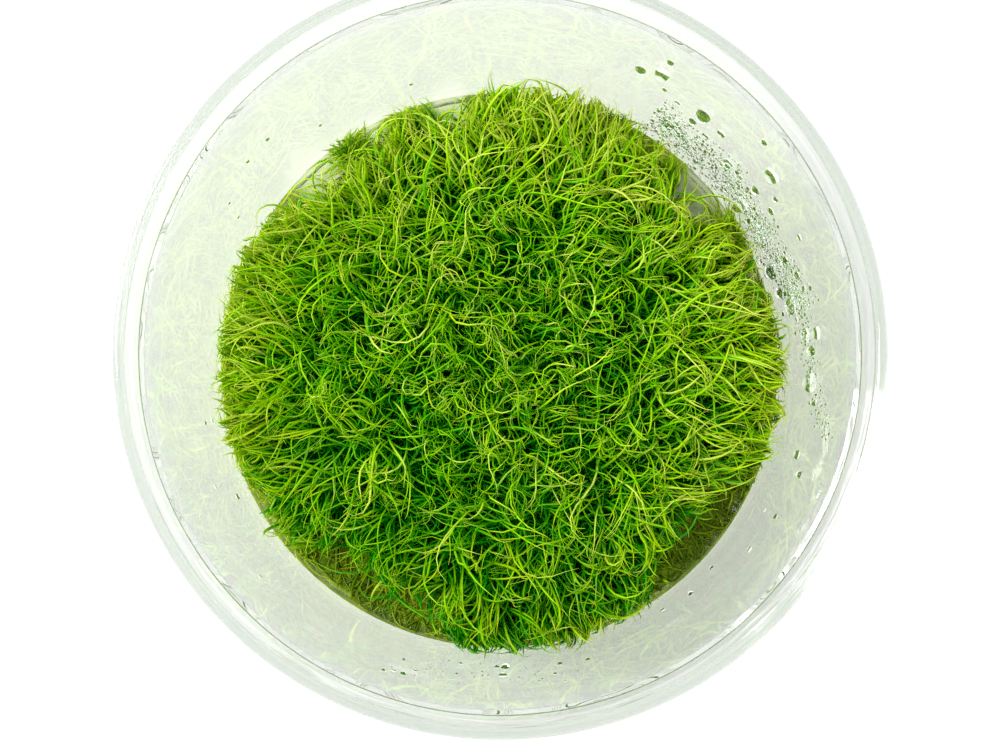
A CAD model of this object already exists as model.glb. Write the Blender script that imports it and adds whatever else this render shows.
"""The looks of a tissue culture bladderwort: thin leaves on clear gel in an open glass bowl.

Metres, +Z up, +Y towards the top of the photograph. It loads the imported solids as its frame.
"""

import math

import bmesh
import bpy
import numpy as np
from mathutils import Matrix, Vector, kdtree, noise


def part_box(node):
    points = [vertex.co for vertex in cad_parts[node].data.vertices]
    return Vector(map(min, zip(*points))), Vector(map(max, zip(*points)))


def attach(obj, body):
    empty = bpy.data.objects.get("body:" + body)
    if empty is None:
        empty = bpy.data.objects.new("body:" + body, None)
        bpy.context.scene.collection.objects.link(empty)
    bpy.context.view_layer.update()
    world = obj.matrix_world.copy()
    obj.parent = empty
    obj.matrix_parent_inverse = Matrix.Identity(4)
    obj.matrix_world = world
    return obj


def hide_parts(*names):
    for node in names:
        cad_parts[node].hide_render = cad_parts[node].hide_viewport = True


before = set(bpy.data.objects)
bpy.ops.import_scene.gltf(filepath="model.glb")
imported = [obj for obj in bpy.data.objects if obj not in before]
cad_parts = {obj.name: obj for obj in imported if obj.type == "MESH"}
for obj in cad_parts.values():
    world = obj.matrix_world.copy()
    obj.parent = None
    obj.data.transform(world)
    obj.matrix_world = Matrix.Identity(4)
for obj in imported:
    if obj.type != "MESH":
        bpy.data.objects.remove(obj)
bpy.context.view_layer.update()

# The camera looks straight down into the bowl, as the photograph does, from a little in front
# of its middle, so that the leaves show a few millimetres lower in the picture than the rim.
CAMERA_PLACE = (0, -0.0206, 0.4090)
CAMERA_TILT = math.radians(2.85)
CAMERA_LENS = 97.8  # millimetres
SENSOR_WIDTH = 36  # millimetres
NEAREST_SEEN = 0.01

bpy.ops.object.camera_add(location=CAMERA_PLACE, rotation=(CAMERA_TILT, 0, 0))
camera = bpy.context.object
camera.name = "camera"
camera.data.lens = CAMERA_LENS
camera.data.sensor_width = SENSOR_WIDTH
camera.data.clip_start = NEAREST_SEEN
bpy.context.scene.camera = camera

# The bowl stands on a white light table, with a soft window at the left of the picture. The table
# glows a little, so that it is blown out as in the photograph, also where the bowl shades it.
TABLE_SIZE = 3.0
TABLE_DROP = 0.0001  # the table lies this far under the bowl's foot
TABLE_GREY = 0.35
TABLE_ROUGHNESS = 0.9
TABLE_GLOW = 0.66
SKY_LIGHT = 1.0
LAMP_PLACE = (-0.72, 0.24, 0.82)
LAMP_SIZE = 0.40
LAMP_POWER = 12.5
CLEAR_BOUNCES = 128
DIFFUSE_BOUNCES = 2
WHITE = (1, 1, 1, 1)


def new_material(name):
    """A material, its node tree, and the shader that gives its surface."""
    material = bpy.data.materials.new(name)
    material.use_nodes = True
    return material, material.node_tree, material.node_tree.nodes["Principled BSDF"]


def set_inputs(tree, node, inputs):
    """Gives each input of a node its value, or links it to the output given in its place."""
    for name, value in inputs.items():
        if isinstance(value, bpy.types.NodeSocket):
            tree.links.new(value, node.inputs[name])
        else:
            node.inputs[name].default_value = value
    return node


table_white, tree, shader = new_material("table_white")
table_look = {
    "Base Color": (TABLE_GREY, TABLE_GREY, TABLE_GREY, 1),
    "Roughness": TABLE_ROUGHNESS,
    "Emission Color": WHITE,
    "Emission Strength": TABLE_GLOW,
}
set_inputs(tree, shader, table_look)
bpy.ops.mesh.primitive_plane_add(size=TABLE_SIZE, location=(0, 0, -TABLE_DROP))
table = bpy.context.object
table.name = "table"
table.data.materials.append(table_white)

bpy.ops.object.light_add(type="AREA", location=LAMP_PLACE)
lamp = bpy.context.object
lamp.name = "window_light"
lamp.data.size = LAMP_SIZE
lamp.data.energy = LAMP_POWER
lamp.rotation_euler = (-Vector(LAMP_PLACE)).to_track_quat("-Z", "Y").to_euler()

world = bpy.data.worlds.new("sky")
world.use_nodes = True
sky = world.node_tree.nodes["Background"]
set_inputs(world.node_tree, sky, {"Color": WHITE, "Strength": SKY_LIGHT})
bpy.context.scene.world = world
bpy.context.scene.view_settings.view_transform = "Standard"
# Only the window is searched for light: the even table and sky are met by the way.
world.cycles.sampling_method = "NONE"
table_white.cycles.emission_sampling = "NONE"
# Light runs a long way inside the lip and the kink of the wall before it leaves the glass.
cycles = bpy.context.scene.cycles
cycles.max_bounces = CLEAR_BOUNCES
cycles.transmission_bounces = CLEAR_BOUNCES
cycles.glossy_bounces = CLEAR_BOUNCES
cycles.diffuse_bounces = DIFFUSE_BOUNCES
cycles.caustics_reflective = False
cycles.caustics_refractive = False
cycles.debug_use_spatial_splits = True

# The bowl is blown glass, clear with a faint green in its edges: a tapered wall with a heavy
# floor, a flared lip whose edge is melted round, and a ring foot. It is drawn ring by ring.
RIM_RADIUS = 0.0500
BOWL_HEIGHT = 0.0600
WALL = 0.0018
FLOOR = 0.0030
WALL_DRAFT = math.radians(8.2)
LIP_FLARE = 0.0035
LIP_RISE = 0.0055
LIP_BEND = 0.0016
BEAD_RADIUS = 0.0008
BEAD_FILLET = BEAD_RADIUS * 0.999  # a hair less, so that its two arcs stay apart
FLOOR_FILLET = 0.0060
BASE_FILLET = 0.0055
FOOT_WIDTH = 0.0045
FOOT_RECESS = 0.0007
BOWL_SIDES = 192
ARC_STEP = math.radians(9)
SHARP_ANGLE = math.radians(35)
TINT_RUN = 0.0060  # the wall's tint turns to the lip's from this far under the lip
TINTS = (  # how far up that run, and the colour of the glass
    (0.0, (0.955, 0.990, 0.885, 1)),
    (0.43, (0.997, 1.0, 0.995, 1)),
    (0.86, (0.997, 1.0, 0.995, 1)),
    (1.0, (0.86, 0.94, 0.88, 1)),
)
RIPPLES = {"Scale": 75, "Detail": 1}
RIPPLE_STRENGTH = 0.16
RIPPLE_HEIGHT = 0.001

MOUTH_RADIUS = RIM_RADIUS - LIP_FLARE
LIP_HEIGHT = BOWL_HEIGHT - LIP_RISE


def inner_radius(height):
    """The inside of the bowl's straight wall at a height, or at many."""
    return MOUTH_RADIUS - math.tan(WALL_DRAFT) * (LIP_HEIGHT - height)


def rounded_outline(corners):
    """Points (radius, height) of an outline, from its corners (radius, height, fillet)."""
    spots = [Vector(corner[:2]) for corner in corners]
    points = [spots[0]]
    for place in range(1, len(spots) - 1):
        before, spot, after = spots[place - 1 : place + 2]
        fillet = corners[place][2]
        if not fillet:
            points.append(spot)
            continue
        inward, outward = (before - spot).normalized(), (after - spot).normalized()
        half = inward.angle(outward) / 2
        centre = spot + (inward + outward).normalized() * (fillet / math.sin(half))
        first = spot + inward * (fillet / math.tan(half)) - centre
        last = spot + outward * (fillet / math.tan(half)) - centre
        turn = first.angle_signed(last)
        steps = max(1, math.ceil(abs(turn) / ARC_STEP))
        for step in range(steps + 1):
            spoke = first.copy()
            spoke.rotate(Matrix.Rotation(-turn * step / steps, 2))
            points.append(centre + spoke)
    return points + [spots[-1]]


def draw_rings(name, outline, sides):
    """A round piece, extruded ring by ring along its outline and capped at both ends."""
    bpy.ops.object.select_all(action="DESELECT")
    bpy.ops.mesh.primitive_circle_add(vertices=sides, radius=outline[0].x, fill_type="NOTHING")
    piece = bpy.context.object
    piece.name = piece.data.name = name
    bpy.ops.object.mode_set(mode="EDIT")
    bpy.ops.mesh.select_mode(type="EDGE")
    bpy.ops.mesh.select_all(action="SELECT")
    bpy.ops.transform.translate(value=(0, 0, outline[0].y))
    for before, point in zip(outline, outline[1:]):
        bpy.ops.mesh.extrude_region_move()
        bpy.ops.transform.translate(value=(0, 0, point.y - before.y))
        widen = point.x / before.x
        bpy.ops.transform.resize(value=(widen, widen, 1), center_override=(0, 0, point.y))
    bpy.ops.mesh.edge_face_add()
    bpy.ops.mesh.select_all(action="DESELECT")
    shape = bmesh.from_edit_mesh(piece.data)
    for edge in shape.edges:
        edge.select_set(edge.is_boundary)
    bpy.ops.mesh.edge_face_add()
    bpy.ops.mesh.select_all(action="SELECT")
    bpy.ops.mesh.normals_make_consistent(inside=False)
    bpy.ops.object.mode_set(mode="OBJECT")
    bpy.ops.object.shade_smooth_by_angle(angle=SHARP_ANGLE)
    return piece


def bowl_outline():
    """From the middle of the foot's recess up the outside, over the lip and down inside."""
    kink = Vector((MOUTH_RADIUS, LIP_HEIGHT))
    up_wall = Vector((math.sin(WALL_DRAFT), math.cos(WALL_DRAFT)))
    out_wall = Vector((up_wall.y, -up_wall.x))
    bead = Vector((RIM_RADIUS - BEAD_RADIUS, BOWL_HEIGHT - BEAD_RADIUS))
    up_lip = (bead - kink - out_wall * WALL / 2).normalized()
    out_lip = Vector((up_lip.y, -up_lip.x))
    tip = bead + up_lip * BEAD_RADIUS
    outside = kink + out_wall * WALL
    lip_foot = kink + out_lip * WALL
    along_lip = tip + out_lip * BEAD_RADIUS - lip_foot
    to_lip = (lip_foot - outside).cross(along_lip) / up_wall.cross(along_lip)
    outer_kink = outside + up_wall * to_lip
    base = outside - up_wall * (outside.y / up_wall.y)
    foot = base.x - BASE_FILLET - FOOT_WIDTH
    return rounded_outline(
        (
            (foot - FOOT_RECESS * 3, FOOT_RECESS, 0),
            (foot - FOOT_RECESS * 2, FOOT_RECESS, FOOT_RECESS / 2),
            (foot, 0, FOOT_RECESS / 2),
            (*base, BASE_FILLET),
            (*outer_kink, LIP_BEND + WALL),
            (*(tip + out_lip * BEAD_RADIUS), BEAD_FILLET),
            (*(tip - out_lip * BEAD_RADIUS), BEAD_FILLET),
            (*kink, LIP_BEND),
            (inner_radius(FLOOR), FLOOR, FLOOR_FILLET),
            (foot, FLOOR, 0),
        )
    )


def add_node(tree, kind, inputs):
    """A new node of a material, with its inputs set or linked."""
    return set_inputs(tree, tree.nodes.new(kind), inputs)


def object_place(tree):
    """Where on the piece each point lies."""
    return add_node(tree, "ShaderNodeTexCoord", {}).outputs["Object"]


def noise_pattern(tree, grain):
    """A noise fixed to the piece, of a scale and detail."""
    inputs = {"Vector": object_place(tree), **grain}
    return add_node(tree, "ShaderNodeTexNoise", inputs).outputs["Fac"]


def coloured_by(tree, factor, stops):
    """A colour that runs through the stops (place from 0 to 1, colour) as the factor rises."""
    ramp = add_node(tree, "ShaderNodeValToRGB", {"Fac": factor})
    elements = ramp.color_ramp.elements
    for end in (0, -1):
        elements[end].position, elements[end].color = stops[end]
    for position, colour in stops[1:-1]:
        elements.new(position).color = colour
    return ramp.outputs["Color"]


def raise_bumps(tree, shader, pattern, strength, height):
    """Lets a pattern show as bumps in the surface."""
    inputs = {"Height": pattern, "Strength": strength, "Distance": height}
    bumps = add_node(tree, "ShaderNodeBump", inputs)
    set_inputs(tree, shader, {"Normal": bumps.outputs["Normal"]})


glass, tree, shader = new_material("clear_glass")
height = add_node(tree, "ShaderNodeSeparateXYZ", {"Vector": object_place(tree)}).outputs["Z"]
near_lip = {"Value": height, "From Min": LIP_HEIGHT - TINT_RUN, "From Max": BOWL_HEIGHT}
climb = add_node(tree, "ShaderNodeMapRange", near_lip).outputs["Result"]
glass_look = {
    "Base Color": coloured_by(tree, climb, TINTS),
    "Roughness": 0.0,
    "IOR": 1.5,
    "Transmission Weight": 1.0,
}
set_inputs(tree, shader, glass_look)
raise_bumps(tree, shader, noise_pattern(tree, RIPPLES), RIPPLE_STRENGTH, RIPPLE_HEIGHT)

bowl = draw_rings("bowl_of_glass", bowl_outline(), BOWL_SIDES)
bowl.data.materials.append(glass)
# Clear glass lets the lamp through to the leaves, which a ray tracer takes very long to find.
bowl.visible_shadow = bowl.visible_diffuse = False
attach(bowl, "root")
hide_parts("glass_bowl")

# The gel is agar, poured in warm and set: clear with a grey-green cast. Its surface is nearly
# flat, wets the glass, and rises at the wall in a meniscus.
GEL_HEIGHT = 0.0087  # over the lowest point of its solid
GEL_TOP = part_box("agar_gel")[0].z + GEL_HEIGHT
GEL_GAP = 0.00002  # the gel stands this far off the glass
GEL_MIDDLE = 0.0010  # its rings start at this radius, and a flat face closes them
GEL_SIDES = 96
MENISCUS_RISE = 0.0010
MENISCUS_WIDTH = 0.0022
GEL_CLOUDS = {"Scale": 140, "Detail": 3}
GEL_CASTS = ((0.35, (0.86, 0.91, 0.76, 1)), (0.65, (0.93, 0.95, 0.88, 1)))
GEL_SKIN = {"From Min": 0.35, "From Max": 0.65, "To Min": 0.06, "To Max": 0.18}
DIMPLE_STRENGTH = 0.25
DIMPLE_HEIGHT = 0.0006

agar, tree, shader = new_material("agar")
clouds = noise_pattern(tree, GEL_CLOUDS)
skin = add_node(tree, "ShaderNodeMapRange", {"Value": clouds, **GEL_SKIN})
agar_look = {
    "Base Color": coloured_by(tree, clouds, GEL_CASTS),
    "Roughness": skin.outputs["Result"],
    "IOR": 1.34,
    "Transmission Weight": 0.97,
}
set_inputs(tree, shader, agar_look)
raise_bumps(tree, shader, clouds, DIMPLE_STRENGTH, DIMPLE_HEIGHT)

meniscus = GEL_TOP + MENISCUS_RISE
gel_outline = rounded_outline(
    (
        (GEL_MIDDLE, FLOOR + GEL_GAP, 0),
        (inner_radius(FLOOR) - GEL_GAP, FLOOR + GEL_GAP, FLOOR_FILLET),
        (inner_radius(meniscus) - GEL_GAP, meniscus, 0),
        (inner_radius(GEL_TOP) - MENISCUS_WIDTH, GEL_TOP, MENISCUS_WIDTH),
        (GEL_MIDDLE, GEL_TOP, 0),
    )
)
gel = draw_rings("gel", gel_outline, GEL_SIDES)
gel.data.materials.append(agar)
gel.visible_shadow = gel.visible_diffuse = False
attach(gel, "root")
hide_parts("agar_gel")

# The leaves are thin, wet and limp: each grows from a creeping shoot in the gel, stands up,
# and bows over. In the middle they tangle, and near the wall they are combed outwards. The turf
# stops short of the glass in some bays, and lies low and half sunk in the gel in some patches.
TURF_EDGE = 0.0409
EDGE_BAYS = (  # degrees round the bowl, half-width in degrees, and how far short in millimetres
    (20, 5, 3.2),
    (40, 7, 7.6),
    (56, 5, 2.4),
    (101, 5, 5.0),
    (118, 5, 3.6),
    (131, 8, 6.0),
    (147, 6, 2.8),
    (165, 3, 1.8),
    (177, 3, 1.6),
    (188, 3, 1.6),
    (208, 9, 2.4),
    (232, 10, 2.0),
    (305, 12, 1.4),
)
LOW_PATCHES = (  # degrees round the bowl, half-width, and where it starts, as a share of the radius
    (241, 17, 0.77),
    (321, 15, 0.78),
    (134, 12, 0.84),
    (39, 8, 0.86),
)
PATCH_BANK = 0.05  # a patch sinks to its depth over this share of the radius
PATCH_OVERHANG = 0.09  # and standing leaves lean this far over it
PATCH_FRAY = (0.25, 0.7)  # so low may the turf be where the last leaves still stand
TURF_HEIGHT = 0.0150
TURF_SIDE_HEIGHT = 0.0088
LEAVES = 7500
LEAF_PIECES = 3
LEAF_RINGS = 12
LONG_LEAVES = 0.04  # the share of leaves that grow long
LONG_LEAF = 1.4  # and how many times longer they grow
LEAF_WIDTH = 0.00039
LEAF_THICKNESS = 0.00020
LEAF_ROOT_WIDTH = 0.55  # of its full width
LEAF_TIP_WIDTH = 0.14
LEAF_TWIST = 0.8  # radians from root to tip, either way
LEAF_ROOT_DEPTH = 0.0002
ROOT_SCATTER = 0.0005
TURN_SCATTER = 0.05  # radians
ROOT_MARGIN = 0.0010  # no root grows nearer to the turf's edge
BAY_MARGIN = 0.0012  # or to a bay's
EDGE_SLACK = (-0.0004, 0.0015)  # how far a tip may pass the edge: the mean, and its spread
SWAY_WAVES = (0.6, 1.3)  # along a leaf
SWAY_GROWTH, BEND_GROWTH, CURL_GROWTH = 1.3, 1.4, 1.8  # powers of the way along a leaf
GLASS_CLEARANCE = 0.0004
SINK = 0.0004  # how deep a long leaf may dip into the gel
LEAST_LEAN = 0.12  # a leaf that is drawn in keeps at least this share of its lean
TUFTS = 1000  # in so many tufts the wet leaves stick together
TUFT_REACH = 0.0045
TUFT_PULL = 0.95
TUFT_RING = -3  # they meet at the third ring from the tip
HUMMOCKS = 150  # waves to the metre, where the turf stands higher or lower
HUMMOCK_HEIGHT = 0.35
SUNNY_SIDE = math.radians(65)  # the leaves are yellower on this side of the bowl
SHADY_SIDE = math.radians(275)  # and darker on this one
LEAF_TONES = (
    (0.0, (0.035, 0.52, 0.001, 1)),
    (0.5, (0.29, 0.83, 0.003, 1)),
    (0.8, (0.63, 0.96, 0.012, 1)),
    (1.0, (0.85, 1.0, 0.15, 1)),
)
LEAF_DEPTHS = ((0.0, (0.0, 0.22, 0.0, 1)), (0.4, (0.05, 0.58, 0.01, 1)), (0.85, WHITE))
OLD_LEAF = (0.56, 0.70, 0.002, 1)
LEAF_LOOK = {
    "Roughness": 0.32,
    "Specular IOR Level": 0.28,
    "Specular Tint": (0.85, 1.0, 0.45, 1),
}
LEAF_SHINES_THROUGH = 0.36
rng = np.random.default_rng(11)


def joined_mesh(name, points, faces, values):
    """One mesh of many small shapes, with a number for each point under each name in values."""
    mesh = bpy.data.meshes.new(name)
    mesh.vertices.add(len(points))
    mesh.vertices.foreach_set("co", points.astype(np.float32).ravel())
    mesh.loops.add(faces.size)
    mesh.loops.foreach_set("vertex_index", faces.astype(np.int32).ravel())
    mesh.polygons.add(len(faces))
    starts = np.arange(0, faces.size, faces.shape[1], dtype=np.int32)
    mesh.polygons.foreach_set("loop_start", starts)
    mesh.update(calc_edges=True)
    mesh.shade_smooth()
    for key, numbers in values.items():
        layer = mesh.attributes.new(key, "FLOAT", "POINT")
        layer.data.foreach_set("value", numbers.astype(np.float32).ravel())
    piece = bpy.data.objects.new(name, mesh)
    bpy.context.scene.collection.objects.link(piece)
    return piece


def around(points):
    """Each point's angle round the bowl."""
    return np.arctan2(points[..., 1], points[..., 0])


def from_axis(points):
    """Each point's distance from the bowl's axis."""
    return np.hypot(points[..., 0], points[..., 1])


def spots_at(angle, out, height):
    """Points at an angle round the bowl, a distance from its axis, and a height."""
    height = np.broadcast_to(height, np.shape(out))
    return np.stack([out * np.cos(angle), out * np.sin(angle), height], axis=-1)


def apart(angle, degrees):
    """How far an angle is from a bearing, in degrees either way."""
    return (np.degrees(angle) - degrees + 180) % 360 - 180


def within(angle, bearing, half_width):
    """From 1 round a bearing to 0 at one and a half times the half-width from it."""
    return np.clip(1.5 - np.abs(apart(angle, bearing)) / half_width, 0, 1)


def turf_reach(angle):
    """How far from the middle the turf reaches at an angle round the bowl."""
    reach = np.full(np.shape(angle), TURF_EDGE)
    for bearing, half_width, short in EDGE_BAYS:
        reach -= short * 0.001 * np.exp(-((apart(angle, bearing) / half_width) ** 2))
    return reach


def standing_reach(angle):
    """How far the standing leaves reach, which is short of the low patches."""
    reach = turf_reach(angle)
    for bearing, half_width, start in LOW_PATCHES:
        stop = (start + PATCH_OVERHANG) * TURF_EDGE
        reach -= within(angle, bearing, half_width) * np.maximum(reach - stop, 0)
    return reach


def lowness(points):
    """From 0 in the standing turf to 1 in the middle of a low patch."""
    low = np.zeros(points.shape[:-1])
    share = from_axis(points) / TURF_EDGE
    for bearing, half_width, start in LOW_PATCHES:
        sunk = np.clip((share - start) / PATCH_BANK, 0, 1)
        low = np.maximum(low, within(around(points), bearing, half_width) * sunk)
    return low


def scatter_roots(count, height):
    """Roots spread evenly on the gel, out to the turf's edge, with none in the bays."""
    place = np.arange(count) + 0.5
    out = (TURF_EDGE - ROOT_MARGIN) * np.sqrt(place / count) + rng.normal(0, ROOT_SCATTER, count)
    golden = place * math.pi * (3 - math.sqrt(5))
    angle = golden + rng.normal(0, TURN_SCATTER, count)
    return spots_at(angle, out, height)[out < turf_reach(angle) - BAY_MARGIN]


def standing(roots):
    """The roots that aren't in a low patch."""
    return roots[lowness(roots) < rng.uniform(*PATCH_FRAY, len(roots))]


def hummock(roots):
    """Above 0 where the turf stands in a hummock, below 0 in a hollow."""
    return np.array([noise.noise(Vector(root) * HUMMOCKS) for root in roots])


def canopy(points):
    """The turf's height over the gel at each point, before any low patch."""
    share = np.clip(from_axis(points) / TURF_EDGE, 0, 1)
    return TURF_HEIGHT + (TURF_SIDE_HEIGHT - TURF_HEIGHT) * share**2


def leaf_lines(roots, azimuth, length, lean, bend, curl, sway, rings):
    """The middle line of each leaf: it starts at its lean and bows over, turning as it goes."""
    count = len(roots)
    share = np.linspace(0, 1, rings)[None, :]
    phase = rng.uniform(0, 2 * math.pi, (count, 2))
    pace = rng.uniform(*SWAY_WAVES, (count, 2)) * 2 * math.pi
    sway = sway[:, None] * share**SWAY_GROWTH
    tilt = lean[:, None] + bend[:, None] * share**BEND_GROWTH
    tilt = tilt + 0.5 * sway * np.sin(pace[:, :1] * share + phase[:, :1])
    heading = azimuth[:, None] + curl[:, None] * share**CURL_GROWTH
    heading = heading + sway * np.sin(pace[:, 1:] * share + phase[:, 1:])
    steps = np.stack(
        [np.sin(tilt) * np.cos(heading), np.sin(tilt) * np.sin(heading), np.cos(tilt)], axis=-1
    )
    steps *= (length / (rings - 1))[:, None, None]
    return np.cumsum(steps, axis=1) - steps[:, :1] + roots[:, None, :]


def stop_at_edge(lines, reach, slack):
    """Draws in each leaf that leans past the reach at its tip, by its lean."""
    roots, tips = lines[:, :1], lines[:, -1]
    start = from_axis(roots[:, 0])
    over = from_axis(tips) - start
    room = reach + slack - start
    keep = np.where(over > room, np.clip(room / np.maximum(over, 1e-6), LEAST_LEAN, 1), 1.0)
    lines[..., :2] = roots[..., :2] + (lines[..., :2] - roots[..., :2]) * keep[:, None, None]
    return lines


def keep_within(lines, limit):
    """Draws each point in to a distance from the bowl's axis."""
    lines[..., :2] *= np.minimum(1, limit / np.maximum(from_axis(lines), 1e-9))[..., None]
    return lines


def press_on_glass(lines, lowest):
    """Keeps each point inside the wall, and no lower than the gel lets it sink."""
    lines[..., 2] = np.maximum(lines[..., 2], lowest)
    return keep_within(lines, inner_radius(lines[..., 2]) - GLASS_CLEARANCE)


def gather(lines, tufts, reach, strongest):
    """Wet leaves stick together: their upper parts are drawn to the nearest of some leaves."""
    leaders = rng.choice(len(lines), tufts, replace=False)
    finder = kdtree.KDTree(tufts)
    for leader in leaders:
        finder.insert(lines[leader, TUFT_RING], int(leader))
    finder.balance()
    found = [finder.find(tip) for tip in lines[:, TUFT_RING]]
    nearest = np.array([index for _, index, _ in found])
    near = np.array([gap for _, _, gap in found]) < reach
    pull = rng.uniform(0.0, strongest, len(lines)) * near
    share = np.linspace(0, 1, lines.shape[1])
    weight = pull[:, None] * share[None, :] ** 1.6
    return lines + (lines[nearest] - lines) * weight[..., None], weight


def leaf_piece(name, lines, width, values):
    """A joined mesh of leaves: a flat upper side and a keel below, closed at both ends."""
    count, rings = lines.shape[:2]
    share = np.linspace(0, 1, rings)
    along = np.gradient(lines, axis=1)
    along /= np.linalg.norm(along, axis=2, keepdims=True) + 1e-12
    turn = rng.uniform(0, math.pi, count)[:, None]
    turn = turn + rng.normal(0, LEAF_TWIST, count)[:, None] * share
    aside = np.cross(along, [0.0, 0.0, 1.0])
    short = np.linalg.norm(aside, axis=2, keepdims=True)
    aside = np.where(short > 1e-3, aside / np.maximum(short, 1e-3), [1.0, 0.0, 0.0])
    below = np.cross(aside, along)
    across = aside * np.cos(turn)[..., None] + below * np.sin(turn)[..., None]
    keel = np.cross(across, along)
    widening = np.minimum(1, LEAF_ROOT_WIDTH + share * 2.2)
    profile = widening * np.clip((1 - share) * 3.0, LEAF_TIP_WIDTH, 1)
    half = (width[:, None] / 2 * profile[None, :])[..., None]
    deep = LEAF_THICKNESS * profile[None, :, None]
    edges = [lines + across * half, lines + keel * deep, lines - across * half]
    first = np.arange(count * rings).reshape(count, rings) * 3
    lower, upper = first[:, :-1], first[:, 1:]
    quads = []
    for here, there in ((0, 1), (1, 2), (2, 0)):
        strip = [lower + here, lower + there, upper + there, upper + here]
        quads.append(np.stack(strip, axis=-1).reshape(-1, 4))
    quads = np.concatenate(quads)
    caps = [first[:, :1] + [2, 1, 0], first[:, -1:] + [0, 1, 2]]
    faces = np.concatenate([quads[:, [0, 1, 2]], quads[:, [0, 2, 3]], *caps])
    spread = {
        key: np.broadcast_to(numbers.reshape(count, -1, 1), (count, rings, 3))
        for key, numbers in values.items()
    }
    return joined_mesh(name, np.stack(edges, axis=2).reshape(-1, 3), faces, spread)


def leaf_pieces(name, parts, lines, width, values):
    """The leaves of one growth, dealt out in turn to a few pieces."""
    pieces = []
    for part in range(parts):
        mine = slice(part, None, parts)
        some = {key: numbers[mine] for key, numbers in values.items()}
        pieces.append(leaf_piece(f"{name}_{part + 1}", lines[mine], width[mine], some))
    return pieces


def mesh_value(tree, name):
    """The number that the mesh keeps for each point under a name."""
    node = tree.nodes.new("ShaderNodeAttribute")
    node.attribute_name = name
    return node.outputs["Fac"]


def mixed(tree, factor, first, second, way="MIX"):
    """One colour turned to another as the factor rises, or multiplied by it."""
    node = tree.nodes.new("ShaderNodeMix")
    node.data_type = "RGBA"
    node.blend_type = way
    return set_inputs(tree, node, {"Factor": factor, "A": first, "B": second}).outputs["Result"]


def shine_through(tree, shader, colour, share):
    """Adds the light that comes through a thin leaf to what its surface gives back."""
    through = add_node(tree, "ShaderNodeBsdfTranslucent", {"Color": colour}).outputs["BSDF"]
    inputs = {"Fac": share, 1: shader.outputs["BSDF"], 2: through}
    both = add_node(tree, "ShaderNodeMixShader", inputs).outputs["Shader"]
    set_inputs(tree, tree.nodes["Material Output"], {"Surface": both})


leaf_green, tree, shader = new_material("leaf_green")
tone = coloured_by(tree, mesh_value(tree, "tone"), LEAF_TONES)
aged = mixed(tree, mesh_value(tree, "age"), tone, OLD_LEAF)
depth = coloured_by(tree, mesh_value(tree, "light"), LEAF_DEPTHS)
green = mixed(tree, 1.0, aged, depth, "MULTIPLY")
set_inputs(tree, shader, {"Base Color": green, **LEAF_LOOK})
shine_through(tree, shader, green, LEAF_SHINES_THROUGH)

# Lengths are shares of the canopy's height, and angles are in radians.
roots = standing(scatter_roots(LEAVES, GEL_TOP - LEAF_ROOT_DEPTH))
count = len(roots)
share = from_axis(roots) / TURF_EDGE
combed = np.clip((share - 0.30) / 0.55, 0, 1)
azimuth = around(roots) + rng.uniform(-math.pi, math.pi, count) * (1 - 0.87 * combed)
length = canopy(roots) * rng.uniform(0.85, 1.35, count) * (1 + 0.35 * combed)
length *= np.where(rng.uniform(0, 1, count) < LONG_LEAVES, LONG_LEAF, 1.0)
high = hummock(roots)
length *= 1 + HUMMOCK_HEIGHT * high
lean = rng.uniform(0.02, 0.35, count) + 0.45 * combed
bend = rng.uniform(0.2, 2.0, count) * (1 - 0.25 * combed)
curl = rng.normal(0, 1.9, count) * (1 - 0.65 * combed)
sway = rng.uniform(0.5, 2.1, count) * (1 - 0.6 * combed)
lines = leaf_lines(roots, azimuth, length, lean, bend, curl, sway, LEAF_RINGS)
slack = rng.normal(*EDGE_SLACK, count)
lines = stop_at_edge(lines, standing_reach(around(lines[:, -1])), slack)
lines, stuck = gather(lines, TUFTS, TUFT_REACH, TUFT_PULL)
lines = press_on_glass(lines, GEL_TOP - SINK)

# A leaf's tone runs from deep green to yellow green and rises to its tip. Its light is low where
# other leaves stand over it, and its age turns it yellow where it sticks to others.
raised = np.clip((lines[..., 2] - GEL_TOP) / canopy(lines), 0, 1)
sunny = np.cos(around(roots) - SUNNY_SIDE) * share**2
shady = np.clip(np.cos(around(roots) - SHADY_SIDE) + 0.2, 0, 1) * share**2
to_tip = np.linspace(0, 1, LEAF_RINGS)
tone = rng.normal(0.26, 0.22, count) + 0.12 * combed + 0.20 * sunny + 0.25 * high
tone = np.clip(tone[:, None] + 0.50 * to_tip**1.4, 0, 1)
open_sky = rng.uniform(0.9, 1.4, count) + 0.2 * sunny - 0.5 * shady + 0.3 * high
light = raised**1.2 * open_sky[:, None] + (0.50 * share**3 - 0.40 * shady)[:, None]
light = np.clip(light, 0.45 * share[:, None] ** 2, 1)
yellowing = rng.normal(0.02, 0.14, count) + 0.18 * combed
age = np.clip(yellowing[:, None] + 0.6 * stuck**2, 0, 0.9) * light
age = np.clip(age + 0.5 * shady[:, None], 0, 1)
width = LEAF_WIDTH * rng.uniform(0.6, 1.15, count) * (0.9 + 0.25 * combed)
values = {"tone": tone, "light": light, "age": age}
leaves = leaf_pieces("leaves", LEAF_PIECES, lines, width, values)
for piece in leaves:
    piece.data.materials.append(leaf_green)
    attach(piece, "root")
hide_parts("leaf_mat")

# Under the long leaves is a dense growth of short ones from the same shoots. They lean every way,
# and are deep green where the light doesn't reach, and brighter at the turf's edge.
UNDERGROWTH = 6600
UNDERGROWTH_PIECES = 2
UNDERGROWTH_RINGS = 7
UNDERGROWTH_ROOT_DEPTH = 0.0006
UNDERGROWTH_SLACK = 0.0006

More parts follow.
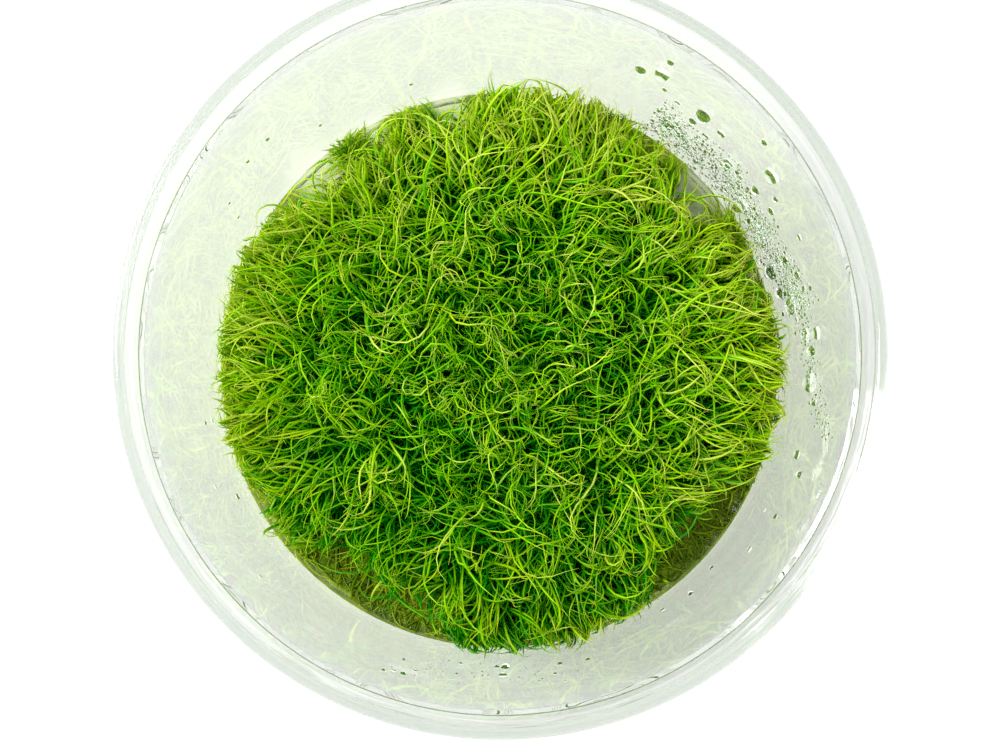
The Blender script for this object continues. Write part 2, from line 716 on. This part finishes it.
roots = standing(scatter_roots(UNDERGROWTH, GEL_TOP - UNDERGROWTH_ROOT_DEPTH))
count = len(roots)
share = from_axis(roots) / TURF_EDGE
azimuth = rng.uniform(-math.pi, math.pi, count)
length = canopy(roots) * rng.uniform(0.35, 0.80, count) * (1 + 0.3 * hummock(roots))
lean = rng.uniform(0.1, 0.7, count)
bend = rng.uniform(0.2, 1.6, count)
curl = rng.normal(0, 1.2, count)
sway = rng.uniform(0.2, 1.0, count)
lines = leaf_lines(roots, azimuth, length, lean, bend, curl, sway, UNDERGROWTH_RINGS)
slack = rng.normal(0, UNDERGROWTH_SLACK, count)
lines = stop_at_edge(lines, standing_reach(around(lines[:, -1])), slack)
lines = press_on_glass(lines, GEL_TOP - 2 * SINK)
raised = np.clip((lines[..., 2] - GEL_TOP) / canopy(lines), 0, 1)
values = {
    "tone": np.clip(rng.normal(0.30, 0.20, count) + 0.2 * share**4, 0, 1),
    "age": np.clip(rng.normal(0.0, 0.08, count) + 0.1 * share**4, 0, 0.9),
    "light": np.clip(raised * 0.80 + 0.70 * share[:, None] ** 3, 0, 1),
}
width = LEAF_WIDTH * rng.uniform(0.9, 1.5, count)
for piece in leaf_pieces("undergrowth", UNDERGROWTH_PIECES, lines, width, values):
    piece.data.materials.append(leaf_green)
    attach(piece, "root")

# In the low patches the leaves have fallen over. They lie flat and half sunk in the wet gel, and
# have turned olive for want of air.
SUNKEN_LEAVES = 1200
SUNKEN_RINGS = 8
SUNKEN_LENGTHS = (0.003, 0.010)
SUNKEN_MARGIN = 0.0006  # from the turf's edge to the nearest root
SUNKEN_SLACK = 0.0004  # how far a tip may pass that edge
SUNKEN_LIFT = 0.0004  # how far over the gel the highest root lies
PATCH_SHARES = (0.4, 0.35, 0.15, 0.1)  # of the sunken leaves, in each low patch
SUNKEN_OLIVES = ((0.0, (0.09, 0.19, 0.001, 1)), (1.0, (0.34, 0.48, 0.006, 1)))
SUNKEN_SHINES_THROUGH = 0.35
WET_LOOK = {"Roughness": 0.25, "Specular IOR Level": 0.2}


def wet_leaf(name, tones, through):
    """A wet leaf's material, coloured by tone, with a share of light that comes through."""
    material, tree, shader = new_material(name)
    colour = coloured_by(tree, mesh_value(tree, "tone"), tones)
    set_inputs(tree, shader, {"Base Color": colour, **WET_LOOK})
    shine_through(tree, shader, colour, through)
    return material


chosen = rng.choice(len(LOW_PATCHES), SUNKEN_LEAVES, p=PATCH_SHARES)
bearing, half_width, start = np.array(LOW_PATCHES)[chosen].T
angle = np.radians(bearing + rng.uniform(-1.25, 1.25, SUNKEN_LEAVES) * half_width)
edge = turf_reach(angle) - SUNKEN_MARGIN
out = edge * np.sqrt(rng.uniform((start - 0.06) ** 2, 1, SUNKEN_LEAVES))
roots = spots_at(angle, out, rng.uniform(0, SUNKEN_LIFT, SUNKEN_LEAVES) + GEL_TOP)
azimuth = angle + rng.normal(0, 0.8, SUNKEN_LEAVES)
length = rng.uniform(*SUNKEN_LENGTHS, SUNKEN_LEAVES)
lean = rng.uniform(1.42, 1.62, SUNKEN_LEAVES)
bend = rng.normal(0.02, 0.12, SUNKEN_LEAVES)
curl = rng.normal(0, 0.9, SUNKEN_LEAVES)
sway = rng.uniform(0.05, 0.35, SUNKEN_LEAVES)
lines = leaf_lines(roots, azimuth, length, lean, bend, curl, sway, SUNKEN_RINGS)
lines = stop_at_edge(lines, turf_reach(around(lines[:, -1])), SUNKEN_SLACK)
lines = press_on_glass(lines, GEL_TOP)
values = {"tone": np.clip(rng.normal(0.4, 0.28, SUNKEN_LEAVES), 0, 1)}
width = LEAF_WIDTH * rng.uniform(0.7, 1.3, SUNKEN_LEAVES)
sunken = leaf_piece("sunken_leaves", lines, width, values)
sunken.data.materials.append(wet_leaf("sunken_olive", SUNKEN_OLIVES, SUNKEN_SHINES_THROUGH))
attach(sunken, "root")

# Where leaves touch the wall they stick to it and climb it, in small wet tufts of yellow green,
# each at its place in the photograph. A lower fringe fills the wall's foot between them.
WET_TUFTS = (  # degrees round the bowl, half-width in degrees, height in millimetres, leaves
    (31, 3.0, 8.0, 170),
    (14, 2.5, 6.0, 90),
    (1, 2.8, 8.0, 130),
    (351, 3.0, 6.5, 110),
    (338, 4.0, 5.0, 80),
    (67, 4.5, 8.0, 150),
    (81, 3.0, 7.0, 90),
    (92, 2.5, 6.0, 70),
    (111, 4.0, 5.0, 110),
    (124, 3.0, 7.5, 130),
    (148, 4.0, 5.0, 90),
    (159, 4.0, 8.0, 150),
    (171, 2.8, 9.5, 130),
    (183, 3.0, 7.5, 110),
    (194, 2.5, 8.5, 120),
    (204, 2.5, 5.0, 70),
    (222, 3.0, 4.5, 60),
    (262, 5.0, 4.0, 90),
    (281, 6.0, 5.0, 110),
)
TUFT_RINGS = 7
TUFT_ROOTS = (0.0006, 0.0036)  # from the glass to the nearest and the farthest root
FRINGE_LEAVES = 1500
FRINGE_HEIGHT = 0.0046
WET_GREENS = ((0.0, (0.40, 0.88, 0.003, 1)), (1.0, (0.88, 1.0, 0.08, 1)))
WET_SHINES_THROUGH = 0.62

tuft_rows = np.array(WET_TUFTS) * (1, 1, 0.001, 1)
tuft_leaves = np.repeat(tuft_rows[:, :3], tuft_rows[:, 3].astype(int), axis=0)
fringe = around(scatter_roots(FRINGE_LEAVES, GEL_TOP))
fringe = fringe[lowness(spots_at(fringe, np.full(len(fringe), TURF_EDGE), GEL_TOP)) < 0.3]
fringe_leaves = np.full((len(fringe), 3), (0, 0, FRINGE_HEIGHT))
fringe_leaves[:, 0] = np.degrees(fringe)
bearings, spreads, heights = np.concatenate([tuft_leaves, fringe_leaves]).T
count = len(bearings)
angle = np.radians(bearings + rng.normal(0, 0.5, count) * spreads)
out = inner_radius(GEL_TOP) - rng.uniform(*TUFT_ROOTS, count)
behind = np.minimum(out, turf_reach(angle) - rng.uniform(0, 0.002, count))
out = np.where(np.arange(count) >= len(tuft_leaves), behind, out)
roots = spots_at(angle, out, GEL_TOP)
azimuth = angle + rng.normal(0, 1.2, count)
length = heights * rng.uniform(0.45, 1.25, count)
lean = rng.uniform(0.2, 1.0, count)
bend = rng.uniform(-0.2, 0.7, count)
curl = rng.normal(0, 0.9, count)
sway = rng.uniform(0.2, 0.8, count)
lines = leaf_lines(roots, azimuth, length, lean, bend, curl, sway, TUFT_RINGS)
lines = press_on_glass(lines, GEL_TOP - SINK / 2)
lines[..., :2] *= (1 - rng.uniform(0, 0.020, count))[:, None, None]
tone = rng.normal(0.45, 0.22, count)[:, None] + 0.35 * np.linspace(0, 1, TUFT_RINGS)
width = LEAF_WIDTH * rng.uniform(0.45, 0.9, count)
tufts = leaf_piece("wet_tufts", lines, width, {"tone": np.clip(tone, 0, 1)})
tufts.data.materials.append(wet_leaf("wet_yellow_green", WET_GREENS, WET_SHINES_THROUGH))
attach(tufts, "root")

# Seven single leaves have strayed over the low patch at the lower left. Each lies where the
# photograph has it: its pixels are followed down from the camera to its height over the gel.
IMAGE_WIDTH, IMAGE_HEIGHT = 1000, 750
STRAY_WIDTH = 0.00046
STRAY_RINGS = 20
CORNER_CUTS = 3  # rounds in which a stray leaf's corners are cut smooth
STRAY_LEAVES = (  # millimetres over the gel at its root and tip, then pixels across and down
    (7.0, 0.6, (406, 545), (405, 558), (400, 566), (390, 573), (380, 583), (372, 593), (370, 606)),
    (7.0, 3.0, (363, 521), (345, 524), (326, 530), (320, 538)),
    (7.0, 1.5, (327, 515), (329, 533), (330, 552)),
    (4.5, 1.0, (372, 551), (360, 549), (348, 551), (330, 556)),
    (7.0, 2.5, (400, 536), (389, 545), (378, 559)),
    (8.0, 1.5, (421, 556), (426, 552), (434, 554), (438, 567), (436, 583), (432, 599)),
    (8.0, 5.0, (470, 560), (459, 548), (447, 543), (436, 545), (431, 553)),
)


def sight_lines(pixels):
    """The direction from the camera through each pixel (across, down) of the photograph."""
    focal = camera.data.lens / camera.data.sensor_width * IMAGE_WIDTH
    right = (pixels[:, 0] - IMAGE_WIDTH / 2) / focal
    up = (IMAGE_HEIGHT / 2 - pixels[:, 1]) / focal
    turned = np.array(Matrix.Rotation(CAMERA_TILT, 3, "X"))
    return np.stack([right, up, -np.ones_like(right)], axis=1) @ turned.T


def smooth_line(points, rings):
    """A smooth line through a few points, with its rings evenly spaced."""
    for _ in range(CORNER_CUTS):
        before, after = points[:-1], points[1:]
        cut = np.stack([0.75 * before + 0.25 * after, 0.25 * before + 0.75 * after], axis=1)
        points = np.concatenate([points[:1], cut.reshape(-1, 3), points[-1:]])
    run = np.append(0, np.cumsum(np.linalg.norm(np.diff(points, axis=0), axis=1)))
    even = np.linspace(0, run[-1], rings)
    return np.stack([np.interp(even, run, points[:, axis]) for axis in range(3)], axis=1)


strays = []
for root_height, tip_height, *pixels in STRAY_LEAVES:
    rays = sight_lines(np.array(pixels, dtype=float))
    levels = GEL_TOP + np.linspace(root_height, tip_height, len(pixels)) * 0.001
    spots = CAMERA_PLACE + rays * ((levels - CAMERA_PLACE[2]) / rays[:, 2])[:, None]
    strays.append(smooth_line(spots, STRAY_RINGS))
lines = press_on_glass(np.array(strays), GEL_TOP)
count = len(lines)
to_tip = np.linspace(0, 1, STRAY_RINGS)
values = {
    "tone": np.tile(0.75 + 0.2 * to_tip, (count, 1)),
    "age": np.full(count, 0.25),
    "light": np.tile(np.clip(0.55 + 0.6 * to_tip, 0, 1), (count, 1)),
}
stray = leaf_piece("stray_leaves", lines, np.full(count, STRAY_WIDTH), values)
stray.data.materials.append(leaf_green)
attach(stray, "root")

# The turf stands on a felt of creeping shoots that has grown through the top of the gel. It is a
# bumpy mat, deep green, and olive under a film of gel in the low patches and along the wall. In
# the deepest bays it sinks away and leaves the gel bare.
FELT_TOP = GEL_TOP + 0.0009
FELT_BOTTOM = GEL_TOP - 0.0018
FELT_CELLS = 90
FELT_GAP = 0.0003  # between the felt and the wall
FELT_BUMPS = 420  # waves to the metre
FELT_BUMP_HEIGHT = 0.0008
FELT_ROUGHNESS = (0.6, 2.0, 3)  # of the bumps: falloff, step in scale, and layers
UNDERSIDE_BUMPS = 0.3  # the share of the bumps that is left below
FILM_BUMPS = 0.15  # and in the film
BARE_BUMPS = 0.35  # and in the bays
FILM_TOP = GEL_TOP + 0.0002
FILM_START = 0.0365  # from the axis, and it is whole this far on
FILM_RUN = 0.0030
BARE_TOP = GEL_TOP - 0.0008
BAY_DEPTH = 0.0026  # the gel begins to show in a bay this deep, and is bare this much deeper
BAY_RUN = 0.0010
BARE_MARGIN = 0.0016  # it shows from this far inside the turf's edge, and is bare this far on
BARE_RUN = 0.0012
FELT_THREADS = {"Scale": 900, "Detail": 4, "Distortion": 1.6}
FELT_GREENS = ((0.40, (0.006, 0.055, 0.0005, 1)), (0.66, (0.12, 0.28, 0.006, 1)))
FELT_BLOTCHES = {"Scale": 260, "Detail": 5, "Roughness": 0.65}
FELT_OLIVES = ((0.38, (0.10, 0.18, 0.001, 1)), (0.66, (0.29, 0.37, 0.005, 1)))
BARE_GEL = (0.46, 0.52, 0.30, 1)
FELT_LOOK = {
    "Roughness": 0.35,
    "Specular IOR Level": 0.2,
    "Specular Tint": (0.75, 1.0, 0.35, 1),
}


def rising(amount, run):
    """From 0 where the amount is none to 1 where it is the whole run."""
    return min(1.0, max(0.0, amount / run))


felt_green, tree, shader = new_material("felt_green")
threads = coloured_by(tree, noise_pattern(tree, FELT_THREADS), FELT_GREENS)
blotches = coloured_by(tree, noise_pattern(tree, FELT_BLOTCHES), FELT_OLIVES)
filmed = mixed(tree, mesh_value(tree, "film"), threads, blotches)
bared = mixed(tree, mesh_value(tree, "bare"), filmed, BARE_GEL)
set_inputs(tree, shader, {"Base Color": bared, **FELT_LOOK})

bpy.ops.object.select_all(action="DESELECT")
bpy.ops.mesh.primitive_grid_add(x_subdivisions=FELT_CELLS, y_subdivisions=FELT_CELLS, size=2)
felt = bpy.context.object
felt.name = felt.data.name = "shoot_felt"
bpy.ops.object.mode_set(mode="EDIT")
bpy.ops.mesh.select_all(action="SELECT")
bpy.ops.mesh.extrude_region_move(TRANSFORM_OT_translate={"value": (0, 0, 1)})
bpy.ops.mesh.select_all(action="SELECT")
bpy.ops.mesh.normals_make_consistent(inside=False)
bpy.ops.object.mode_set(mode="OBJECT")
film = np.zeros(len(felt.data.vertices), dtype=np.float32)
bare = film.copy()
for vertex in felt.data.vertices:
    x, y, top = vertex.co
    spot = Vector((x * math.sqrt(1 - y * y / 2), y * math.sqrt(1 - x * x / 2), 0))
    spot *= inner_radius(FELT_BOTTOM) - FELT_GAP
    bump = noise.fractal(spot * FELT_BUMPS, *FELT_ROUGHNESS) * FELT_BUMP_HEIGHT
    reach = float(turf_reach(np.array(math.atan2(spot.y, spot.x))))
    bay = rising(TURF_EDGE - BAY_DEPTH - reach, BAY_RUN)
    bare[vertex.index] = bay * rising(spot.length - reach + BARE_MARGIN, BARE_RUN)
    near_wall = rising(spot.length - FILM_START, FILM_RUN)
    film[vertex.index] = max(float(lowness(np.array(spot))), near_wall)
    spot.z = FELT_BOTTOM + UNDERSIDE_BUMPS * bump
    if top > 0.5:
        spot.z = FELT_TOP + bump
        spot.z += (FILM_TOP + FILM_BUMPS * bump - spot.z) * film[vertex.index]
        spot.z += (BARE_TOP + BARE_BUMPS * bump - spot.z) * bare[vertex.index]
    vertex.co = spot
for key, numbers in (("film", film), ("bare", bare)):
    felt.data.attributes.new(key, "FLOAT", "POINT").data.foreach_set("value", numbers)
felt.data.shade_smooth()
felt.data.materials.append(felt_green)
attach(felt, "root")

# Pale creeping shoots run down through the gel and carry the plant's bladders, the traps that it
# is named for: hollow beads less than a millimetre long.
SHOOTS = 520
SHOOT_RINGS = 9
SHOOT_WIDTH = 0.00024
SHOOT_LENGTHS = (0.006, 0.017)
SHOOT_MARGIN = 0.0004  # inside the felt above and over the glass below
SHOOT_WALL_MARGIN = 0.0008
BLADDERS = 260
BLADDER_LENGTH = 0.00085
BLADDER_WIDTH = 0.72  # of its length
BLADDER_SIDES = 7
BLADDER_RINGS = 4
LOWEST_BLADDER = FLOOR + 0.0006
BLADDER_HANG = (0, 0, -0.8)  # how much more they point down than any other way
ASLANT = (0.31, 0.11, 0.94)  # any direction that no bladder points in
SHOOT_PALES = ((0.0, (0.20, 0.36, 0.06, 1)), (1.0, (0.66, 0.74, 0.42, 1)))

pale_shoot, tree, shader = new_material("pale_shoot")
pales = coloured_by(tree, mesh_value(tree, "tone"), SHOOT_PALES)
set_inputs(tree, shader, {"Base Color": pales, "Roughness": 0.35})

highest = FELT_BOTTOM + SHOOT_MARGIN
roots = scatter_roots(SHOOTS, highest)
count = len(roots)
azimuth = rng.uniform(-math.pi, math.pi, count)
length = rng.uniform(*SHOOT_LENGTHS, count)
lean = rng.uniform(1.65, 2.9, count)
bend = rng.uniform(-0.8, 0.3, count)
curl = rng.normal(0, 1.6, count)
sway = rng.uniform(0.5, 1.6, count)
lines = leaf_lines(roots, azimuth, length, lean, bend, curl, sway, SHOOT_RINGS)
height = np.clip(lines[..., 2], FLOOR + SHOOT_MARGIN, highest)
lines[..., 2] = height
in_fillet = np.maximum(FLOOR + FLOOR_FILLET - height, 0)
lines = keep_within(lines, inner_radius(height) - SHOOT_WALL_MARGIN - 0.7 * in_fillet)
values = {
    "tone": rng.uniform(0.5, 1.0, count),
    "age": rng.uniform(0.0, 0.3, count),
    "light": rng.uniform(0.35, 0.85, count),
}
shoots = leaf_piece("creeping_shoots", lines, np.full(count, SHOOT_WIDTH), values)
shoots.data.materials.append(pale_shoot)
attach(shoots, "root")


def closed_by_poles(count, rings, sides):
    """The triangles of many closed shapes: rings of points, then one point for either end."""
    here = np.arange(sides)
    there = (here + 1) % sides
    first_pole = np.full(sides, rings * sides)
    faces = []
    for ring in range(rings - 1):
        low, high = ring * sides, (ring + 1) * sides
        faces.append(np.stack([low + here, low + there, high + there], axis=1))
        faces.append(np.stack([low + here, high + there, high + here], axis=1))
    last = (rings - 1) * sides
    faces.append(np.stack([there, here, first_pole], axis=1))
    faces.append(np.stack([last + here, last + there, first_pole + 1], axis=1))
    shapes = np.arange(count) * (rings * sides + 2)
    return (np.concatenate(faces)[None] + shapes[:, None, None]).reshape(-1, 3)


def beads(name, middles, axes, length, sides, rings):
    """Closed egg-shaped beads, each round its own axis."""
    turn = np.linspace(0, 2 * math.pi, sides, endpoint=False)
    rise = np.linspace(-math.pi / 2, math.pi / 2, rings + 2)[1:-1]
    aside = np.cross(axes, ASLANT)
    aside /= np.linalg.norm(aside, axis=1, keepdims=True)
    across = np.cross(axes, aside)
    wide = np.cos(rise)[:, None] * BLADDER_WIDTH
    x = np.append((wide * np.cos(turn)).ravel(), [0, 0])[None, :, None] * aside[:, None]
    y = np.append((wide * np.sin(turn)).ravel(), [0, 0])[None, :, None] * across[:, None]
    z = np.append(np.repeat(np.sin(rise), sides), [-1, 1])[None, :, None] * axes[:, None]
    points = middles[:, None] + (length / 2)[:, None, None] * (x + y + z)
    tones = np.repeat(rng.uniform(0.3, 1.0, len(middles)), points.shape[1])
    faces = closed_by_poles(len(middles), rings, sides)
    return joined_mesh(name, points.reshape(-1, 3), faces, {"tone": tones})


carrier = rng.choice(count, BLADDERS, replace=False)
place = rng.integers(3, SHOOT_RINGS - 1, BLADDERS)
spots = lines[carrier, place]
axes = rng.normal(0, 1, (BLADDERS, 3)) + BLADDER_HANG
axes /= np.linalg.norm(axes, axis=1, keepdims=True)
sizes = BLADDER_LENGTH * rng.uniform(0.6, 1.1, BLADDERS)
spots = spots + axes * (sizes / 2)[:, None]
spots[:, 2] = np.maximum(spots[:, 2], LOWEST_BLADDER)
bladders = beads("bladders", spots, axes, sizes, BLADDER_SIDES, BLADDER_RINGS)
bladders.data.materials.append(pale_shoot)
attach(bladders, "root")

# Water has condensed on the inside of the wall, most of it at the right of the picture: drops that
# have run together, and a mist of small ones between them. Each is placed by its pixel.
DROPS = (  # pixel across, pixel down, and width in millimetres
    (641, 69, 1.7), (663, 73, 2.2), (671, 62, 1.1), (665, 89, 0.8), (678, 102, 1.0),
    (704, 115, 2.3), (693, 121, 1.4), (669, 123, 2.1), (706, 135, 1.3), (722, 133, 1.4),
    (679, 134, 1.0), (729, 163, 2.0), (765, 142, 1.1), (773, 175, 2.6), (756, 190, 1.5),
    (744, 203, 2.3), (738, 207, 1.6), (734, 193, 0.8), (751, 221, 1.3), (772, 211, 1.3),
    (776, 199, 1.0), (757, 214, 0.8), (686, 148, 0.9), (691, 152, 0.9), (696, 160, 1.0),
    (701, 163, 0.9), (706, 165, 0.8), (762, 235, 1.3), (786, 261, 1.4), (773, 271, 2.4),
    (767, 270, 0.9), (798, 275, 1.2), (781, 293, 1.6), (793, 306, 2.6), (784, 314, 0.7),
    (807, 335, 2.3), (818, 333, 1.9), (813, 351, 1.6), (812, 383, 2.8), (815, 402, 1.2),
    (798, 455, 1.3), (800, 475, 1.2), (800, 237, 1.0), (267, 139, 0.7), (247, 161, 0.6),
    (320, 125, 0.5), (411, 84, 0.6), (229, 203, 0.6), (238, 217, 0.5), (215, 487, 0.7),
    (237, 497, 0.9), (260, 577, 0.7), (393, 671, 0.7), (403, 674, 0.9), (415, 671, 0.6),
    (505, 668, 1.3), (503, 676, 1.1), (497, 667, 0.7), (560, 664, 0.7), (588, 660, 0.7),
    (663, 610, 0.8), (691, 594, 0.9), (712, 568, 0.7), (750, 550, 0.9), (776, 517, 0.8),
    (765, 510, 0.7), (205, 423, 0.6), (212, 421, 0.6),
)
MIST = (  # from pixel, to pixel, half-width in pixels, drops
    ((655, 113), (737, 186), 18, 1000),
    ((730, 180), (768, 235), 14, 400),
    ((752, 222), (806, 310), 16, 950),
    ((798, 292), (826, 440), 9, 260),
    ((380, 668), (580, 676), 10, 40),
)
MIST_WIDTH = 0.00028
MIST_WIDTH_SPREAD = 0.40  # of its logarithm
MIST_SPREAD = 0.5  # across a belt, as a share of its half-width
DROP_SIDES, DROP_RINGS = 16, 5
MIST_SIDES, MIST_RINGS = 7, 2
DROP_TALLNESS = (1.0, 1.7)  # its height, as a share of its width
DROP_THICKNESS = (0.65, 1.05)  # and its thickness, as a share of half its width
DROP_GAP = 0.00002  # a drop's foot stands this far off the glass
DROP_SAG = 0.3  # its dome hangs lower than its foot by this share of half its height
LOWEST_DROP = GEL_TOP + 0.0015
HIGHEST_DROP = LIP_HEIGHT - 0.001
SIGHT_STEPS = 6  # in which a line of sight is followed to the wall
WET_EDGE = math.radians(70)  # the edge between a drop's foot and its dome is sharp
WATER_LOOK = {
    "Base Color": (0.97, 1.0, 0.97, 1),
    "Roughness": 0.0,
    "IOR": 1.33,
    "Transmission Weight": 1.0,
}

water, tree, shader = new_material("water")
set_inputs(tree, shader, WATER_LOOK)


def on_wall(pixels):
    """The angle and height where each pixel's line of sight meets the inside of the wall."""
    rays = sight_lines(pixels)
    near = (LIP_HEIGHT - CAMERA_PLACE[2]) / rays[:, 2]
    far = (GEL_TOP - CAMERA_PLACE[2]) / rays[:, 2]
    for _ in range(SIGHT_STEPS):
        over = [
            from_axis(CAMERA_PLACE + rays * reach[:, None])
            - inner_radius(CAMERA_PLACE[2] + rays[:, 2] * reach)
            for reach in (near, far)
        ]
        near, far = far, near - over[0] * (far - near) / (over[1] - over[0] + 1e-12)
    spots = CAMERA_PLACE + rays * far[:, None]
    return around(spots), np.clip(spots[:, 2], LOWEST_DROP, HIGHEST_DROP)


def water_drops(name, pixels, widths, sides, rings):
    """Closed drops: a foot that follows the glass, and a dome that hangs down a little."""
    angles, heights = on_wall(pixels)
    count = len(widths)
    turn = np.linspace(0, 2 * math.pi, sides, endpoint=False)
    rise = np.linspace(0, math.pi / 2, rings + 1)[:-1]
    side = np.append((np.cos(rise)[:, None] * np.cos(turn)).ravel(), [0, 0])
    up = np.append((np.cos(rise)[:, None] * np.sin(turn)).ravel(), [0, 0])
    off = np.append(np.repeat(np.sin(rise), sides), [0, 1])
    half = (widths / 2)[:, None]
    tall = half * rng.uniform(*DROP_TALLNESS, (count, 1))
    thick = half * rng.uniform(*DROP_THICKNESS, (count, 1))
    height = heights[:, None] + up * tall - off * tall * DROP_SAG
    out = inner_radius(height) - DROP_GAP - off * thick
    angle = angles[:, None] + side * half / inner_radius(height)
    points = spots_at(angle, out, height).reshape(-1, 3)
    # Seen from inside the bowl the rings run clockwise, so the faces are turned over.
    drops = joined_mesh(name, points, closed_by_poles(count, rings, sides)[:, ::-1], {})
    drops.data.set_sharp_from_angle(angle=WET_EDGE)
    return drops


drop_rows = np.array(DROPS)
drop_widths = drop_rows[:, 2] * 0.001
drops = water_drops("large_drops", drop_rows[:, :2], drop_widths, DROP_SIDES, DROP_RINGS)
pixels = []
for start, end, half_width, amount in MIST:
    share = rng.uniform(0, 1, (amount, 1))
    across = np.array([start[1] - end[1], end[0] - start[0]]) / math.dist(start, end)
    spread = np.clip(rng.normal(0, MIST_SPREAD, (amount, 1)), -1, 1) * half_width
    pixels.append(start + share * (np.array(end) - start) + across * spread)
pixels = np.concatenate(pixels)
mist_widths = MIST_WIDTH * np.exp(rng.normal(0, MIST_WIDTH_SPREAD, len(pixels)))
mist = water_drops("mist", pixels, mist_widths, MIST_SIDES, MIST_RINGS)
for piece in (drops, mist):
    piece.data.materials.append(water)
    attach(piece, "root")
